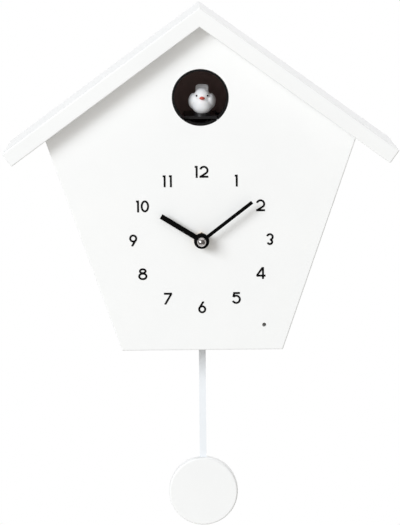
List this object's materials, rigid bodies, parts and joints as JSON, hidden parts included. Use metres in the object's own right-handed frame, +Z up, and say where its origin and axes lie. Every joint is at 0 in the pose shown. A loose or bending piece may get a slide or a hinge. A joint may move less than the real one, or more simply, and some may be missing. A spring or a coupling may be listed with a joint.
{
  "type": "cuckoo clock",
  "caption": "White house-shaped wall cuckoo clock with a gabled roof, round bird port, plain numerals, bar hands and a hanging disc pendulum.",
  "frame": {"origin": "centre of the keyhole's round entry in the hanger plate, on the wall plane", "axes": "+X to the viewer's right, +Y into the wall, +Z up"},
  "size_m": [0.2494, 0.0898, 0.3398],
  "materials": {
    "white_lacquer": "satin white lacquer on fibreboard",
    "back_board": "white-faced hardboard",
    "raw_wood": "planed softwood",
    "black_ink": "flat black print",
    "black_hand": "matte black anodised",
    "chrome": "polished",
    "brass": "turned",
    "steel": "zinc plated",
    "magnet": "nickel plated",
    "black_plastic": "satin black",
    "box_brown": "matte dark brown",
    "gloss_black": "gloss black",
    "gear_plastic": "natural moulded",
    "bird_white": "matte white",
    "beak_red": "red paint",
    "bird_eye": "gloss black",
    "rubber": "black",
    "copper": "enamelled copper wire",
    "circuit_board": "green solder mask",
    "speaker_paper": "black paper cone",
    "cell_jacket": "plain silver jacket",
    "white_metal": "white paint",
    "sensor": "clear epoxy over a light cell"
  },
  "bodies": {
    "case": {"front_panel": "white_lacquer", "left_side_board": "white_lacquer", "right_side_board": "white_lacquer", "base_board": "white_lacquer", "left_roof_board": "white_lacquer", "right_roof_board": "white_lacquer", "back_panel": "back_board", "back_panel_screws": "steel", "back_panel_cleats": "raw_wood", "hanger_block": "raw_wood", "hanger_plate": "steel", "hanger_screws": "steel", "dial_numerals": "black_ink", "light_sensor": "sensor", "port_sleeve": "black_plastic", "fixing_nut": "brass", "rubber_gasket": "rubber", "threaded_bush": "brass", "movement_front_shell": "black_plastic", "movement_rear_cover": "black_plastic", "motor_stator": "steel", "motor_coil": "copper", "clock_board": "circuit_board", "pendulum_coil": "copper", "pendulum_pin": "steel", "bird_box": "box_brown", "bird_box_screws": "steel", "bird_gearmotor": "steel", "speaker_frame": "magnet", "speaker_cone": "speaker_paper", "battery_tray": "black_plastic", "battery_cells": "cell_jacket", "battery_contacts": "steel", "main_board": "circuit_board", "board_standoffs": "steel"},
    "minute_hand": {"minute_hand": "black_hand", "cap_nut": "chrome", "minute_arbor": "steel", "friction_washer": "brass"},
    "hour_hand": {"hour_hand": "black_hand", "hour_wheel": "gear_plastic"},
    "setting_work": {"motion_wheel": "gear_plastic", "setting_knob": "black_plastic"},
    "centre_wheel": {"centre_wheel": "gear_plastic"},
    "third_wheel": {"third_wheel": "gear_plastic"},
    "seconds_wheel": {"seconds_wheel": "gear_plastic"},
    "idler_wheel": {"idler_wheel": "gear_plastic"},
    "motor_rotor": {"motor_rotor": "gear_plastic"},
    "pendulum": {"pendulum_arm": "black_plastic", "pendulum_magnet": "magnet", "pendulum_rod": "white_metal", "pendulum_bob": "white_lacquer"},
    "bird": {"bird_carriage": "gloss_black", "bird_body": "bird_white", "bird_beak": "beak_red", "bird_eyes": "bird_eye"},
    "bird_pinion": {"bird_pinion": "black_plastic"},
    "volume_knob": {"volume_knob": "black_plastic"},
    "test_button": {"test_button": "gloss_black"},
    "battery_door": {"battery_door": "black_plastic"}
  },
  "joints": [
    {"name": "minute_hand_turn", "type": "hinge", "parent": "case", "child": "minute_hand", "pos_m": [0, -0.056, -0.105], "axis": [0, 1, 0], "continuous": true},
    {"name": "hour_hand_turn", "type": "hinge", "parent": "case", "child": "hour_hand", "pos_m": [0, -0.056, -0.105], "axis": [0, 1, 0], "continuous": true},
    {"name": "setting_turn", "type": "hinge", "parent": "case", "child": "setting_work", "pos_m": [0.014, -0.056, -0.105], "axis": [0, 1, 0], "continuous": true},
    {"name": "rotor_turn", "type": "hinge", "parent": "case", "child": "motor_rotor", "pos_m": [-0.01877, -0.056, -0.11533], "axis": [0, 1, 0], "continuous": true},
    {"name": "idler_turn", "type": "hinge", "parent": "case", "child": "idler_wheel", "pos_m": [-0.02296, -0.056, -0.10805], "axis": [0, 1, 0], "continuous": true},
    {"name": "seconds_turn", "type": "hinge", "parent": "case", "child": "seconds_wheel", "pos_m": [-0.02009, -0.056, -0.10016], "axis": [0, 1, 0], "continuous": true},
    {"name": "third_turn", "type": "hinge", "parent": "case", "child": "third_wheel", "pos_m": [-0.00891, -0.056, -0.09609], "axis": [0, 1, 0], "continuous": true},
    {"name": "centre_turn", "type": "hinge", "parent": "case", "child": "centre_wheel", "pos_m": [0, -0.056, -0.105], "axis": [0, 1, 0], "continuous": true},
    {"name": "pendulum_swing", "type": "hinge", "parent": "case", "child": "pendulum", "pos_m": [0, -0.044, -0.085], "axis": [0, 1, 0], "range_deg": [-7, 7]},
    {"name": "bird_slide", "type": "slide", "parent": "case", "child": "bird", "axis": [0, -1, 0], "range_m": [0, 0.024]},
    {"name": "bird_pinion_turn", "type": "hinge", "parent": "case", "child": "bird_pinion", "pos_m": [0.01362, -0.0515, -0.0278], "axis": [0, 0, 1], "range_deg": [0, 385]},
    {"name": "volume_turn", "type": "hinge", "parent": "case", "child": "volume_knob", "pos_m": [-0.017, -0.004, -0.141], "axis": [0, 1, 0], "range_deg": [-135, 135]},
    {"name": "test_press", "type": "slide", "parent": "case", "child": "test_button", "axis": [0, -1, 0], "range_m": [0, 0.001], "stiffness_N_per_m": 400},
    {"name": "battery_door_lift", "type": "slide", "parent": "case", "child": "battery_door", "axis": [0, 1, 0], "range_m": [0, 0.02]}
  ],
  "couplings": [
    {"joint": "hour_hand_turn", "follows": "minute_hand_turn", "ratio": 0.083333},
    {"joint": "setting_turn", "follows": "minute_hand_turn", "ratio": -0.33333},
    {"joint": "idler_turn", "follows": "rotor_turn", "ratio": -0.16667},
    {"joint": "seconds_turn", "follows": "rotor_turn", "ratio": 0.033333},
    {"joint": "third_turn", "follows": "rotor_turn", "ratio": -0.0044444},
    {"joint": "centre_turn", "follows": "rotor_turn", "ratio": 0.00055556},
    {"joint": "bird_pinion_turn", "follows": "bird_slide", "rad_per_m": 277.78}
  ]
}
